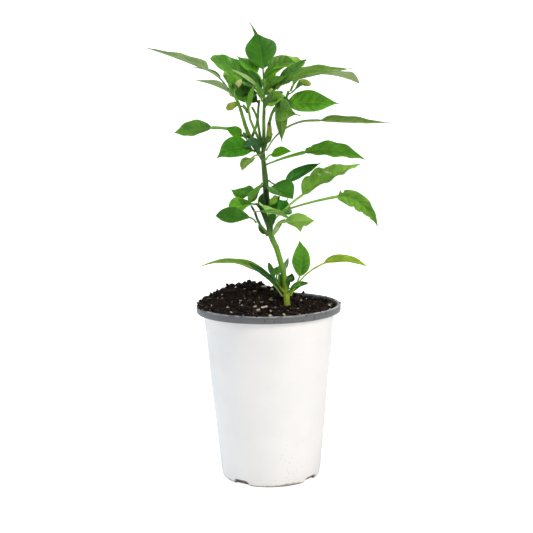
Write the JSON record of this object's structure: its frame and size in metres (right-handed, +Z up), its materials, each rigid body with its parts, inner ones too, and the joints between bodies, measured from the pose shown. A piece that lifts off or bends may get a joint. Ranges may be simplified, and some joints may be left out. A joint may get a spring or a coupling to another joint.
{
  "type": "potted chilli pepper plant",
  "caption": "Young chilli pepper plant with a forking green stem, pointed leaves and buds, growing in potting mix in a tapered round grower's pot.",
  "frame": {"origin": "middle of the flat underside of the pot", "axes": "+Z up along the pot's axis, -Y towards the viewer's side of the plant, +X to the right seen from there"},
  "size_m": [0.1809, 0.1096, 0.3364],
  "materials": {
    "pot_plastic": "thin moulded plastic, white wall with a grey rim and inside",
    "potting_mix": "moist dark peat and bark with perlite",
    "stem_green": "living green stem",
    "leaf_mature": "glossy dark green leaf with a paler underside",
    "leaf_young": "bright green young leaf",
    "bud_cream": "pale green and cream bud"
  },
  "bodies": {
    "root": {"base_blue_leaf": "leaf_mature", "base_long_leaf": "leaf_mature", "base_right_leaf": "leaf_young", "base_small_dark_leaf": "leaf_mature", "base_small_right_leaf": "leaf_young", "base_tiny_front_leaf": "leaf_mature", "base_tiny_left_leaf": "leaf_mature", "base_upright_leaf": "leaf_mature", "bright_small_leaf": "leaf_young", "bud_cream": "bud_cream", "bud_crown": "bud_cream", "bud_fork": "bud_cream", "bud_left": "bud_cream", "bud_right": "bud_cream", "bud_small_left": "bud_cream", "bud_tuft": "bud_cream", "crown_bright_leaf": "leaf_young", "crown_front_leaf": "leaf_mature", "crown_leaf": "leaf_mature", "crown_left_back_leaf": "leaf_mature", "crown_right_back_leaf": "leaf_mature", "far_left_leaf": "leaf_mature", "front_light_leaf": "leaf_young", "front_small_leaf": "leaf_young", "inner_dark_leaf": "leaf_mature", "left_bract_leaf": "leaf_young", "left_broad_leaf": "leaf_mature", "left_dark_leaf": "leaf_mature", "left_face_leaf": "leaf_mature", "left_grey_leaf": "leaf_mature", "left_hanging_leaf": "leaf_young", "left_oval_leaf": "leaf_mature", "left_tucked_leaf": "leaf_mature", "long_olive_leaf": "leaf_mature", "mid_heart_leaf": "leaf_mature", "mid_left_bright_leaf": "leaf_young", "mid_left_broad_leaf": "leaf_mature", "mid_left_dark_leaf": "leaf_mature", "mid_left_folded_leaf": "leaf_mature", "mid_right_rising_leaf": "leaf_mature", "mid_right_spotted_leaf": "leaf_mature", "mid_right_torn_leaf": "leaf_mature", "pot": "pot_plastic", "potting_mix": "potting_mix", "right_big_leaf": "leaf_mature", "right_curled_leaf": "leaf_mature", "right_curved_leaf": "leaf_young", "right_dark_leaf": "leaf_mature", "right_drooping_leaf": "leaf_mature", "right_hanging_leaf": "leaf_mature", "right_long_leaf": "leaf_mature", "right_upright_leaf": "leaf_mature", "spent_flower": "bud_cream", "stem": "stem_green", "upper_left_leaf": "leaf_mature", "wavy_right_leaf": "leaf_mature", "young_fruit": "bud_cream"}
  },
  "joints": []
}
